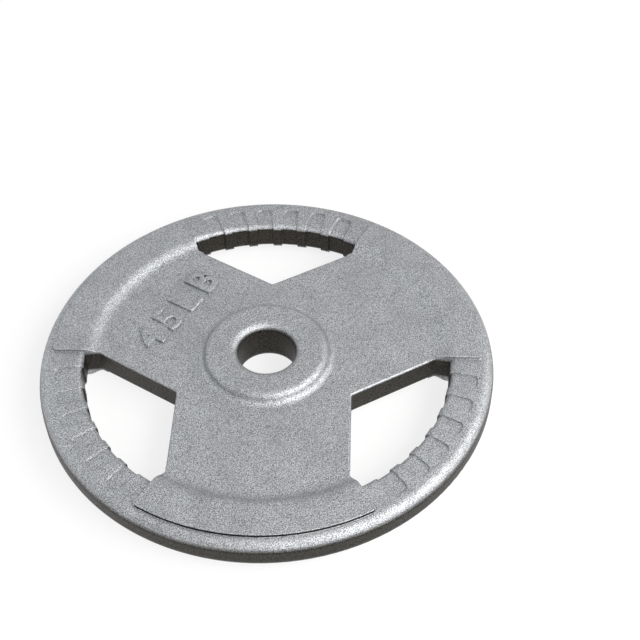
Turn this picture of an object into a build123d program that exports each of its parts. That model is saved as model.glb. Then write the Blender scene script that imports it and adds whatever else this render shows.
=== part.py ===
from build123d import *
import math
import os

# A cast-iron weight plate for a barbell: hub with a bore, flat web with three hand windows,
# three raised pads on the rim between them, and grip bars with finger pockets. Both faces are
# alike. Millimetres, +Z up, origin on the bore axis at the hub's lower face.

# Rim and grip bars
plate_diameter = 400.0
rim_thickness = 28.6
rim_rounding = 9.8
grip_width = 38.7
grip_rounding = 5.8

# Web and hub
web_thickness = 23.6
hub_diameter = 110.0
hub_thickness = 41.7
hub_draft = 2.2
hub_edge_rounding = 7.0
hub_foot_fillet = 7.0

# Bore for the bar's sleeve
bore_diameter = 51.0
bore_mouth_rounding = 7.5

# Hand windows
window_count = 3
spoke_width = 151.0
window_corner_cut = 12.3
window_corner_lean = 0.55
window_corner_rounding = 2.8
window_edge_rounding = 2.0

# Raised pads
pad_rise = 3.0
pad_margin = 10.3
pad_slope_run = 8.0
pad_slope_setback = 2.3
pad_slope_blend = 15.0
pad_corner_rounding = 3.8
pad_edge_rounding = 0.6

# Finger pockets
pocket_count = 6
pocket_row_margin = 3.95
pocket_width = 16.8
pocket_taper = 1.3
pocket_depth = 1.45
pocket_end_margin = 13.8
pocket_corner_rounding = 4.3

# Worked out from the sizes above
plate_radius = plate_diameter / 2
rim_half = rim_thickness / 2
web_half = web_thickness / 2
hub_half = hub_thickness / 2
pad_half = rim_half + pad_rise
grip_inner_radius = plate_radius - grip_width
window_pitch_angle = 360 / window_count
side_angle = 180 / window_count

# Angles from a window's middle line: to the inner and the outer end of its corner cut. The
# finger pockets share out what is left between the outer ends and the row's margins.
cut_radius = grip_inner_radius - window_corner_cut
cut_angle = side_angle - math.degrees(math.asin(spoke_width / 2 / cut_radius))
window_half_angle = cut_angle - window_corner_lean
pocket_pitch_angle = 2 * (window_half_angle - pocket_row_margin) / pocket_count

# One spoke points to -Y, and the windows lie midway between the spokes.
spoke_angle = -90.0
window_angle = spoke_angle + window_pitch_angle / 2

# How far a cutter runs past what it cuts, and a joined piece into its neighbour
reach = 20.0
weld = 3.0


def polar(radius, angle):
    return radius * math.cos(math.radians(angle)), radius * math.sin(math.radians(angle))


def outline(corners):
    """Face inside a closed outline; each corner is (x, y, rounding)."""
    points = [(x, y) for x, y, rounding in corners]
    return make_face(FilletPolyline(*points, radius=[r for x, y, r in corners], close=True))


def two_sided(corners):
    """Face whose upper half is given, and whose lower half mirrors it."""
    lower = [(x, -y, rounding) for x, y, rounding in reversed(corners) if y > 0]
    return outline(corners + lower)


def turned(section, angle=360.0):
    """Section turned about the bore axis, centred on +X where the turn isn't full."""
    return Rot(0, 0, -angle / 2) * revolve(Plane.XZ * section, Axis.Z, angle)


def around(piece, first_angle):
    """Copies of a piece that points along +X, one for each window or spoke."""
    return [Rot(0, 0, first_angle + k * window_pitch_angle) * piece for k in range(window_count)]


def lies_at_height(face, height):
    return abs(abs(face.center().Z) - height) < 0.01


def middle_radius(edge):
    middle = edge @ 0.5
    return math.hypot(middle.X, middle.Y)


def window():
    """Cutter for one hand window, open at its outer end, where the rim closes it."""
    # A side runs parallel to the next spoke, from the vertex to the corner cut.
    vertex = spoke_width / 2 / math.sin(math.radians(side_angle))
    return extrude(two_sided([
        (vertex, 0, window_corner_rounding),
        (*polar(cut_radius, cut_angle), window_corner_rounding),
        (*polar(grip_inner_radius, window_half_angle), 0),
        (*polar(plate_radius + reach, window_half_angle), 0),
    ]), hub_half, both=True)


def hub_and_web(windows):
    """Hub and web with the windows cut and their edges rounded."""
    body = turned(two_sided([
        (bore_diameter / 2, hub_half, bore_mouth_rounding),
        (hub_diameter / 2 - hub_draft, hub_half, hub_edge_rounding),
        (hub_diameter / 2 + hub_draft, web_half, hub_foot_fillet),
        (grip_inner_radius + weld, web_half, 0),
    ])) - windows
    web_faces = [f for f in body.faces().filter_by(Axis.Z) if lies_at_height(f, web_half)]
    web_edges = [e for f in web_faces for e in f.edges()]
    hub_foot = hub_diameter / 2 + hub_draft + hub_foot_fillet
    window_edges = [e for e in web_edges if hub_foot + 0.1 < middle_radius(e) < grip_inner_radius]
    return fillet(window_edges, window_edge_rounding)


def pad(windows):
    """Raised pad on both faces of the spoke that points along +X."""
    slope_top = grip_inner_radius - pad_slope_setback
    slope_foot = slope_top - pad_slope_run
    outer_radius = plate_radius - pad_margin
    body = turned(two_sided([
        (slope_foot - pad_slope_blend / 2, web_half, 0),
        (slope_foot, web_half, pad_slope_blend),
        (slope_top, pad_half, pad_slope_blend),
        (outer_radius, pad_half, 0),
    ]), window_pitch_angle - 2 * window_half_angle + 2) - windows
    uprights = body.edges().filter_by(Axis.Z)
    body = fillet([e for e in uprights if middle_radius(e) > outer_radius - 0.1], pad_corner_rounding)
    tops = [f for f in body.faces().filter_by(Axis.Z) if lies_at_height(f, pad_half)]
    step_edges = [e for f in tops for e in f.edges() if middle_radius(e) > slope_top + pad_slope_blend / 2]
    return fillet(step_edges, pad_edge_rounding)


def finger_pocket():
    """Cutter for one finger pocket, which wraps round the bar's inner side."""
    inner = grip_inner_radius - reach
    outer = plate_radius - pocket_end_margin
    half_width = pocket_width / 2
    block = extrude(two_sided([
        (inner, half_width, 0),
        (outer, half_width - pocket_taper, pocket_corner_rounding),
    ]), hub_half, both=True)
    core = turned(two_sided([
        (grip_inner_radius + pocket_depth, rim_half - pocket_depth, grip_rounding - pocket_depth),
        (plate_radius + reach, rim_half - pocket_depth, 0),
    ]), pocket_pitch_angle * 2)
    return block - core


def rim():
    """Rim with a row of finger pockets beside each window."""
    ring = turned(two_sided([
        (grip_inner_radius, rim_half, grip_rounding),
        (plate_radius, rim_half, rim_rounding),
    ]))
    middle = (pocket_count - 1) / 2
    row = [Rot(0, 0, (k - middle) * pocket_pitch_angle) * finger_pocket() for k in range(pocket_count)]
    pockets = [pocket for one in row for pocket in around(one, window_angle)]
    return ring - pockets


def plate():
    windows = around(window(), window_angle)
    body = hub_and_web(windows)
    pads = around(pad(around(window(), window_pitch_angle / 2)), spoke_angle)
    return Pos(0, 0, hub_half) * (body + pads + rim())


os.makedirs("parts", exist_ok=True)
export_step(plate(), "parts/plate.step")
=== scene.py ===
import math

import bpy
from bpy.props import FloatProperty, FloatVectorProperty, PointerProperty, StringProperty
from mathutils import Matrix, Vector


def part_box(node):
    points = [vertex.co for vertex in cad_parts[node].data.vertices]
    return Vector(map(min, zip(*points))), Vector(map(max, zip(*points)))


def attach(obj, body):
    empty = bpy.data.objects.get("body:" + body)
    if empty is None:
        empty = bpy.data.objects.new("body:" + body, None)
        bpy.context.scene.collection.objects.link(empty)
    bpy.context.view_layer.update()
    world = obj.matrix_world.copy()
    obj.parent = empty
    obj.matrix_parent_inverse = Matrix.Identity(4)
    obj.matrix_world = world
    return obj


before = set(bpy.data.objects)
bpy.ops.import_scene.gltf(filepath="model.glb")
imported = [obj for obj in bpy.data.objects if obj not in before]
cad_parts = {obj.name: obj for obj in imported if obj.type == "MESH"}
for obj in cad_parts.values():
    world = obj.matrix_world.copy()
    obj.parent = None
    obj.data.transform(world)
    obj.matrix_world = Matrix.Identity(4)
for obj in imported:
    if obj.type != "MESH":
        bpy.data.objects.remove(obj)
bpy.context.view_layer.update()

bl_info = {
    "name": "Cast weight plate",
    "version": (1, 0, 0),
    "blender": (4, 5, 0),
    "location": "3D View > Sidebar > Weight plate",
    "description": "Hammertone paint, raised weight mark and studio for a cast-iron weight plate",
    "category": "Object",
}

MM = 0.001
LOWEST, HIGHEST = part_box("plate")
MIDDLE_HEIGHT = (HIGHEST.z + LOWEST.z) / 2
WEB_THICKNESS = 23.6 * MM

# Letters: the turns at which faces merge, edges are rounded and shading breaks
FLAT_ANGLE = math.radians(1)
ROUNDED_ANGLE = math.radians(50)
CREASE_ANGLE = math.radians(40)

# Noises of the paint: sizes in grains, turn about the axes in radians, and what they add
GLITTER_SIZE = 0.6
MOTTLE_SIZE = 30
NOISE_TURN = (0.6, 0.5, 0.3)
GLITTER_IN_RIPPLE = 0.4
GLITTER_IN_RELIEF = 0.35
GLITTER_ROUGHNESS = 0.16
MOTTLE_ROUGHNESS = 0.06

# Ends of the slopes on which noises and masks rise from 0 to 1
GRAIN_SLOPE = (0.42, 0.58)
SPECKLE_SLOPE = (0.46, 0.54)
BLOTCH_SLOPE = (0.35, 0.70)
FACING_SLOPE = (0.20, 0.62)
ABOVE_WEB_SLOPE = (WEB_THICKNESS / 2 * 0.78, WEB_THICKNESS / 2 * 1.04)

# The same for distances from the bore axis
PAST_BORE_MOUTH = (27 * MM, 31 * MM)
HUB_START = (32 * MM, 40 * MM)
HUB_END = (62 * MM, 75 * MM)
PAD_STEP_START = (188.6 * MM, 189.2 * MM)
PAD_STEP_END = (190.0 * MM, 190.4 * MM)

# Studio: the sensor's width in millimetres, other lengths in metres, and the colours of its light
SENSOR_WIDTH = 36
FLOOR_SIZE = 40
LAMP_DISTANCE = 2.6
KEY_WHITE = (1, 0.985, 0.96)
FRONT_WHITE = (1, 0.985, 0.965)
LEFT_WHITE = (0.93, 0.965, 1)
ROOM_WHITE = (0.97, 0.98, 1)


class PaintSettings(bpy.types.PropertyGroup):
    face_colour: FloatVectorProperty(
        name="Paint", description="Silver-grey paint on the faces that look up or down",
        subtype="COLOR", default=(0.316, 0.325, 0.339))
    # Painted shade: the near-black, slightly brown colour given to the upright walls.
    wall_shade_colour: FloatVectorProperty(
        name="Upright walls", description="Thin, browner paint where the spray met the walls edge-on",
        subtype="COLOR", default=(0.018, 0.016, 0.013))
    # Painted shade: the near-black line in the crease at the pads' outer step.
    step_shade_colour: FloatVectorProperty(
        name="Pad step", description="Bare dark line along the step on the pads' outer edge",
        subtype="COLOR", default=(0.004, 0.004, 0.004))
    grain_size: FloatProperty(
        name="Grain", description="Width of one dimple of the hammertone paint",
        subtype="DISTANCE", unit="LENGTH", default=0.8 * MM)
    dimple_depth: FloatProperty(
        name="Dimples", description="Depth of the dimples",
        subtype="DISTANCE", unit="LENGTH", default=0.4 * MM)
    face_contrast: FloatVectorProperty(
        name="Face contrast", description="Darkest and lightest grain, as shares of the paint's colour",
        size=2, default=(0.36, 1.60))
    wall_contrast: FloatVectorProperty(
        name="Wall contrast", description="Darkest and lightest grain, as shares of the walls' colour",
        size=2, default=(0.02, 3.4))
    mottle_share: FloatProperty(
        name="Mottle", description="How much the broad blotches darken the faces",
        subtype="FACTOR", default=0.22)
    roughness: FloatProperty(
        name="Roughness", description="Roughness of the smoothest paint",
        subtype="FACTOR", default=0.32)
    metalness: FloatProperty(
        name="Metal flakes", description="How metallic the paint looks",
        subtype="FACTOR", default=0.8)
    edge_softness: FloatProperty(
        name="Edge softness", description="Radius that cast edges are seen to have",
        subtype="DISTANCE", unit="LENGTH", default=1.2 * MM)


class MarkSettings(bpy.types.PropertyGroup):
    text: StringProperty(name="Mark", description="Weight that the plate states", default="45LB")
    spoke_azimuth: FloatProperty(
        name="Spoke", description="Direction of the spoke that carries the mark",
        subtype="ANGLE", unit="ROTATION", default=math.radians(150))
    baseline_radius: FloatProperty(
        name="Baseline", description="Distance from the bore axis to the letters' feet",
        subtype="DISTANCE", unit="LENGTH", default=86 * MM)
    height: FloatProperty(
        name="Height", description="Height of a letter",
        subtype="DISTANCE", unit="LENGTH", default=29 * MM)
    width: FloatProperty(
        name="Width", description="Width of a letter",
        subtype="DISTANCE", unit="LENGTH", default=19.5 * MM)
    pitch: FloatProperty(
        name="Pitch", description="Distance from one letter to the next",
        subtype="DISTANCE", unit="LENGTH", default=27.4 * MM)
    offset: FloatProperty(
        name="Offset", description="How far the mark's middle lies beside the spoke's middle line",
        subtype="DISTANCE", unit="LENGTH", default=2.5 * MM)
    relief: FloatProperty(
        name="Relief", description="How far the letters stand out of the web",
        subtype="DISTANCE", unit="LENGTH", default=2.3 * MM)
    boldness: FloatProperty(
        name="Boldness", description="How much each stroke is widened on both sides, in text heights",
        default=0.022)
    edge_rounding: FloatProperty(
        name="Edge rounding", description="Rounding of the letters' upper edges",
        subtype="DISTANCE", unit="LENGTH", default=1.1 * MM)


class StudioSettings(bpy.types.PropertyGroup):
    camera_azimuth: FloatProperty(
        name="Camera azimuth", description="Direction from the plate to the camera",
        subtype="ANGLE", unit="ROTATION", default=math.radians(272.3))
    camera_elevation: FloatProperty(
        name="Camera elevation", description="How steeply the camera looks down",
        subtype="ANGLE", unit="ROTATION", default=math.radians(49.62))
    camera_distance: FloatProperty(
        name="Camera distance", description="From the middle of the bore to the camera",
        subtype="DISTANCE", unit="LENGTH", default=1.0874)
    camera_lens: FloatProperty(
        name="Focal length", description="In millimetres, on a sensor 36 mm wide",
        default=68.5)
    camera_roll: FloatProperty(
        name="Camera roll", description="Turn of the picture about its middle",
        subtype="ANGLE", unit="ROTATION", default=math.radians(-0.677))
    bore_across: FloatProperty(
        name="Bore across", description="Where the bore's middle is drawn, from the left, in frame widths",
        default=266.9 / 640)
    bore_down: FloatProperty(
        name="Bore down", description="Where the bore's middle is drawn, from the top, in frame heights",
        default=362.5 / 640)
    floor_colour: FloatVectorProperty(
        name="Floor", description="Colour of the floor", subtype="COLOR", default=(0.95, 0.95, 0.95))
    floor_glow: FloatProperty(
        name="Floor glow", description="How much of the floor's white the shadow can't darken",
        subtype="FACTOR", default=0.8)
    sky_strength: FloatProperty(name="Room light", description="Even light from all round", default=0.33)


class Socket:
    """An output of a node, which Python's operators join to others or to numbers with Math nodes."""

    def __init__(self, shader, link):
        self.shader = shader
        self.link = link

    def _math(self, operation, *values):
        return self.shader.node("ShaderNodeMath", {"operation": operation}, dict(enumerate(values)))

    def __add__(self, other):
        return self._math("ADD", self, other)

    def __radd__(self, other):
        return self._math("ADD", other, self)

    def __sub__(self, other):
        return self._math("SUBTRACT", self, other)

    def __rsub__(self, other):
        return self._math("SUBTRACT", other, self)

    def __mul__(self, other):
        return self._math("MULTIPLY", self, other)

    def __rmul__(self, other):
        return self._math("MULTIPLY", other, self)

    def __abs__(self):
        return self._math("ABSOLUTE", self)


class Shader:
    """The node tree of a new material or of the world."""

    def __init__(self, owner, first_node="Principled BSDF"):
        owner.use_nodes = True
        self.tree = owner.node_tree
        self.surface = self.tree.nodes[first_node]

    def node(self, kind, settings=None, values=None, output=0):
        """Adds a node: its settings first, then the values or links of its inputs."""
        made = self.tree.nodes.new(kind)
        for name, value in (settings or {}).items():
            setattr(made, name, value)
        for key, value in (values or {}).items():
            self.feed(made.inputs[key], value)
        return Socket(self, made.outputs[output])

    def feed(self, target, value):
        if isinstance(value, Socket):
            self.tree.links.new(value.link, target)
        elif hasattr(value, "__len__") and len(value) == 3 and len(target.default_value) == 4:
            target.default_value = (*value, 1)
        else:
            target.default_value = value

    def mix(self, factor, first, second):
        """Mix of two colours."""
        settings = {"data_type": "RGBA", "clamp_factor": True}
        return self.node("ShaderNodeMix", settings, {0: factor, 6: first, 7: second}, output=2)

    def rise(self, value, low, high):
        """Rises from 0 where the value is low to 1 where it is high."""
        return self.node("ShaderNodeMapRange", {}, {"Value": value, "From Min": low, "From Max": high})

    def seen_white(self, share, last_node):
        """Mixes white light in, which only the camera, reflections and glass can see."""
        seen = (self.node("ShaderNodeLightPath", output="Is Camera Ray")
                + self.node("ShaderNodeLightPath", output="Is Glossy Ray")
                + self.node("ShaderNodeLightPath", output="Is Transmission Ray"))
        glow = self.node("ShaderNodeEmission", {}, {"Color": (1, 1, 1), "Strength": 1.0})
        lit = Socket(self, self.surface.outputs[0])
        mixed = self.node("ShaderNodeMixShader", {}, {0: share * seen, 1: lit, 2: glow})
        self.feed(self.tree.nodes[last_node].inputs["Surface"], mixed)

    def noise(self, place, size, detail):
        """Noise whose blotches are about size wide."""
        return self.node("ShaderNodeTexNoise", {}, {"Vector": place, "Scale": 1 / size, "Detail": detail})


def shades(colour, shares):
    """A colour made darker or lighter by each of the shares."""
    return [tuple(share * channel for channel in colour) for share in shares]


def hammertone_and_painted_shade(settings):
    """Grained metallic paint on the faces, and painted shade that makes the upright walls dark."""
    paint = bpy.data.materials.new("hammertone_and_painted_shade")
    shader = Shader(paint)
    place = shader.node("ShaderNodeTexCoord", output="Object")
    facing = shader.node("ShaderNodeTexCoord", output="Normal")
    upward = shader.node("ShaderNodeSeparateXYZ", {}, {0: facing}, output="Z")
    flat_place = shader.node("ShaderNodeVectorMath", {"operation": "MULTIPLY"}, {0: place, 1: (1, 1, 0)})
    from_axis = shader.node("ShaderNodeVectorMath", {"operation": "LENGTH"}, {0: flat_place}, "Value")
    level = shader.node("ShaderNodeSeparateXYZ", {}, {0: place}, output="Z")

    # Paint pools into dimples; the fine grain glitters and the broad one mottles the casting.
    # The noise is turned, because its cells are dull where a flat face lies along them.
    skewed = shader.node("ShaderNodeMapping", {}, {"Vector": place, "Rotation": NOISE_TURN})
    dimples = shader.noise(skewed, settings.grain_size, 1.5)
    glitter = shader.noise(skewed, settings.grain_size * GLITTER_SIZE, 1.0)
    mottle = shader.noise(skewed, settings.grain_size * MOTTLE_SIZE, 3.0)
    ripple = (1 - GLITTER_IN_RIPPLE) * dimples + GLITTER_IN_RIPPLE * glitter
    grain = shader.rise(ripple, *GRAIN_SLOPE)
    speckle = shader.rise(ripple, *SPECKLE_SLOPE)
    blotches = shader.rise(mottle, *BLOTCH_SLOPE)

    # Painted shade: faces that look up or down, the hub's wall and all that stands out of the web keep the
    # paint's colour, while the upright walls of the bore, the windows, the rim and the pads' step are
    # painted dark as shade.
    facing_up_or_down = shader.rise(abs(upward), *FACING_SLOPE)
    above_web = shader.rise(abs(level - MIDDLE_HEIGHT), *ABOVE_WEB_SLOPE)
    past_bore = shader.rise(from_axis, *PAST_BORE_MOUTH)
    on_hub = shader.rise(from_axis, *HUB_START) * (1 - shader.rise(from_axis, *HUB_END))
    on_step = shader.rise(from_axis, *PAD_STEP_START) * (1 - shader.rise(from_axis, *PAD_STEP_END))
    no_wall_shade = facing_up_or_down + on_hub + above_web * past_bore * (1 - on_step)

    dark_face, light_face = shades(settings.face_colour, settings.face_contrast)
    faces = shader.mix(grain, dark_face, light_face)
    faces = shader.mix(settings.mottle_share * blotches, faces, dark_face)
    # Painted shade on the upright walls, speckled with the grain.
    dark_wall, light_wall = shades(settings.wall_shade_colour, settings.wall_contrast)
    walls = shader.mix(speckle, dark_wall, light_wall)
    # Painted shade along the crease at the pads' outer step.
    walls = shader.mix(on_step, walls, settings.step_shade_colour)
    roughness = settings.roughness + GLITTER_ROUGHNESS * glitter + MOTTLE_ROUGHNESS * mottle
    shader.feed(shader.surface.inputs["Base Color"], shader.mix(no_wall_shade, walls, faces))
    shader.feed(shader.surface.inputs["Roughness"], roughness)
    shader.feed(shader.surface.inputs["Metallic"], settings.metalness)

    edges = shader.node("ShaderNodeBevel", {"samples": 8}, {"Radius": settings.edge_softness})
    relief = shader.node("ShaderNodeBump", {}, {
        "Strength": 1.0, "Distance": settings.dimple_depth,
        "Height": dimples + GLITTER_IN_RELIEF * glitter, "Normal": edges})
    shader.feed(shader.surface.inputs["Normal"], relief)
    return paint


def floor_paint(settings):
    """Pale floor that glows white to the camera and in reflections, under the plate's shadow."""
    paint = bpy.data.materials.new("studio_floor")
    shader = Shader(paint)
    shader.feed(shader.surface.inputs["Base Color"], settings.floor_colour)
    shader.feed(shader.surface.inputs["Roughness"], 0.9)
    shader.feed(shader.surface.inputs["Specular IOR Level"], 0.1)
    shader.seen_white(settings.floor_glow, "Material Output")
    return paint


def give(piece, material):
    piece.data.materials.clear()
    piece.data.materials.append(material)


def only(piece):
    """Makes one object the selected and active one."""
    bpy.ops.object.select_all(action="DESELECT")
    piece.select_set(True)
    bpy.context.view_layer.objects.active = piece


class PLATE_OT_paint(bpy.types.Operator):
    """Paint the casting in silver-grey hammertone"""
    bl_idname = "weight_plate.paint"
    bl_label = "Paint the plate"

    def execute(self, context):
        material = hammertone_and_painted_shade(context.scene.plate_paint)
        give(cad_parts["plate"], material)
        return {"FINISHED"}


def letter(character, settings):
    """One raised letter, its lower left corner at the origin, and its back sunk into the web."""
    bpy.ops.object.select_all(action="DESELECT")
    bpy.ops.object.text_add()
    made = bpy.context.object
    made.data.body = character
    made.data.resolution_u = 8
    made.data.offset = settings.boldness
    only(made)
    bpy.ops.object.convert(target="MESH")
    corners = [vertex.co for vertex in made.data.vertices]
    left = min(corner.x for corner in corners)
    low = min(corner.y for corner in corners)
    stretch = Vector((
        settings.width / (max(corner.x for corner in corners) - left),
        settings.height / (max(corner.y for corner in corners) - low), 1))
    bpy.ops.object.mode_set(mode="EDIT")
    bpy.ops.mesh.select_all(action="SELECT")
    bpy.ops.transform.translate(value=(-left, -low, 0))
    bpy.ops.transform.resize(value=stretch, center_override=(0, 0, 0))
    bpy.ops.mesh.dissolve_limited(angle_limit=FLAT_ANGLE)
    bpy.ops.mesh.extrude_region_move(
        TRANSFORM_OT_translate={"value": (0, 0, settings.relief * 2)})
    bpy.ops.mesh.select_all(action="SELECT")
    bpy.ops.mesh.normals_make_consistent(inside=False)
    bpy.ops.object.mode_set(mode="OBJECT")
    rounding = made.modifiers.new("rounding", "BEVEL")
    rounding.width = settings.edge_rounding
    rounding.segments = 3
    rounding.angle_limit = ROUNDED_ANGLE
    bpy.ops.object.modifier_apply(modifier="rounding")
    return made


class PLATE_OT_mark(bpy.types.Operator):
    """Raise the plain weight mark on one spoke"""
    bl_idname = "weight_plate.mark"
    bl_label = "Raise the mark"

    def execute(self, context):
        settings = context.scene.plate_mark
        letters = []
        total = settings.pitch * (len(settings.text) - 1) + settings.width
        for count, character in enumerate(settings.text):
            made = letter(character, settings)
            made.location.x = settings.offset - total / 2 + count * settings.pitch
            letters.append(made)
        bpy.ops.object.select_all(action="DESELECT")
        for made in letters:
            made.select_set(True)
        bpy.context.view_layer.objects.active = letters[0]
        bpy.ops.object.join()
        mark = bpy.context.object
        mark.name = "weight_mark"
        mark.location.y = settings.baseline_radius
        mark.location.z = MIDDLE_HEIGHT + WEB_THICKNESS / 2 - settings.relief
        bpy.ops.object.transform_apply(location=True, rotation=True, scale=True)
        mark.rotation_euler.z = settings.spoke_azimuth - math.radians(90)
        bpy.ops.object.transform_apply(location=True, rotation=True, scale=True)
        bpy.ops.object.shade_smooth_by_angle(angle=CREASE_ANGLE)
        give(mark, bpy.data.materials["hammertone_and_painted_shade"])
        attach(mark, "root")
        return {"FINISHED"}


def aim_camera(settings):
    """Camera whose picture draws the middle of the bore where the settings say."""
    frame_widths = settings.camera_lens / SENSOR_WIDTH
    across = (settings.bore_across - 0.5) / frame_widths
    up = (0.5 - settings.bore_down) / frame_widths
    ray = math.sqrt(1 + across**2 + up**2)
    sine = math.sin(settings.camera_elevation) * ray / math.sqrt(1 + up**2)
    dip = math.asin(sine) + math.atan(up)
    right = Vector((1, 0, 0))
    forward = Vector((0, math.cos(dip), -math.sin(dip)))
    above = Vector((0, math.sin(dip), math.cos(dip)))
    middle = Vector((0, 0, MIDDLE_HEIGHT))
    place = -settings.camera_distance * (across * right + up * above + forward) / ray
    roll = settings.camera_roll
    turned_right = math.cos(roll) * right + math.sin(roll) * above
    turned_above = math.cos(roll) * above - math.sin(roll) * right
    axes = Matrix((turned_right, turned_above, -forward)).transposed()
    rig = Matrix.Rotation(settings.camera_azimuth - math.radians(270), 4, "Z")
    return Matrix.Translation(middle) @ rig @ Matrix.Translation(place) @ axes.to_4x4()


def soft_lamp(name, azimuth, elevation, size, power, colour):
    """Area lamp that looks at the plate; angles in degrees, size in metres, power in watts."""
    lamp = bpy.data.lights.new(name, "AREA")
    lamp.shape = "RECTANGLE"
    lamp.size, lamp.size_y = size
    lamp.energy = power
    lamp.color = colour
    made = bpy.data.objects.new(name, lamp)
    bpy.context.scene.collection.objects.link(made)
    flat = math.cos(math.radians(elevation))
    made.location = LAMP_DISTANCE * Vector((
        flat * math.cos(math.radians(azimuth)),
        flat * math.sin(math.radians(azimuth)),
        math.sin(math.radians(elevation))))
    made.rotation_euler = (-made.location).to_track_quat("-Z", "Y").to_euler()


class PLATE_OT_studio(bpy.types.Operator):
    """Set up the floor, the soft lamps and the camera"""
    bl_idname = "weight_plate.studio"
    bl_label = "Set up the studio"

    def execute(self, context):
        settings = context.scene.plate_studio
        bpy.ops.object.select_all(action="DESELECT")
        bpy.ops.mesh.primitive_plane_add(size=FLOOR_SIZE, location=(0, 0, LOWEST.z))
        floor = context.object
        floor.name = "studio_floor"
        bpy.ops.object.transform_apply(location=True, rotation=True, scale=True)
        give(floor, floor_paint(settings))

        soft_lamp("key_lamp", azimuth=0, elevation=39, size=(2.0, 2.0), power=61, colour=KEY_WHITE)
        soft_lamp("front_lamp", azimuth=311, elevation=37, size=(2.0, 1.8), power=64, colour=FRONT_WHITE)
        soft_lamp("left_lamp", azimuth=158, elevation=28, size=(2.2, 1.8), power=12, colour=LEFT_WHITE)

        world = bpy.data.worlds.new("studio_room")
        room = Shader(world, "Background")
        room.feed(room.surface.inputs["Color"], ROOM_WHITE)
        room.feed(room.surface.inputs["Strength"], settings.sky_strength)
        room.seen_white(1.0, "World Output")
        context.scene.world = world
        context.scene.view_settings.view_transform = "Standard"

        lens = bpy.data.cameras.new("photo_camera")
        lens.sensor_width = SENSOR_WIDTH
        lens.sensor_fit = "HORIZONTAL"
        lens.lens = settings.camera_lens
        camera = bpy.data.objects.new("photo_camera", lens)
        context.scene.collection.objects.link(camera)
        camera.matrix_world = aim_camera(settings)
        context.scene.camera = camera
        return {"FINISHED"}


class PLATE_PT_sidebar(bpy.types.Panel):
    bl_idname = "PLATE_PT_sidebar"
    bl_label = "Weight plate"
    bl_space_type = "VIEW_3D"
    bl_region_type = "UI"
    bl_category = "Weight plate"

    def draw(self, context):
        groups = (
            (context.scene.plate_paint, PLATE_OT_paint),
            (context.scene.plate_mark, PLATE_OT_mark),
            (context.scene.plate_studio, PLATE_OT_studio),
        )
        for settings, step in groups:
            box = self.layout.box()
            for name in settings.__annotations__:
                box.prop(settings, name)
            box.operator(step.bl_idname)


CLASSES = (
    PaintSettings, MarkSettings, StudioSettings,
    PLATE_OT_paint, PLATE_OT_mark, PLATE_OT_studio, PLATE_PT_sidebar,
)


def register():
    for one in CLASSES:
        bpy.utils.register_class(one)
    bpy.types.Scene.plate_paint = PointerProperty(type=PaintSettings)
    bpy.types.Scene.plate_mark = PointerProperty(type=MarkSettings)
    bpy.types.Scene.plate_studio = PointerProperty(type=StudioSettings)


def unregister():
    del bpy.types.Scene.plate_studio
    del bpy.types.Scene.plate_mark
    del bpy.types.Scene.plate_paint
    for one in reversed(CLASSES):
        bpy.utils.unregister_class(one)


def main():
    register()
    bpy.ops.weight_plate.paint()
    bpy.ops.weight_plate.mark()
    bpy.ops.weight_plate.studio()


if __name__ == "__main__":
    main()
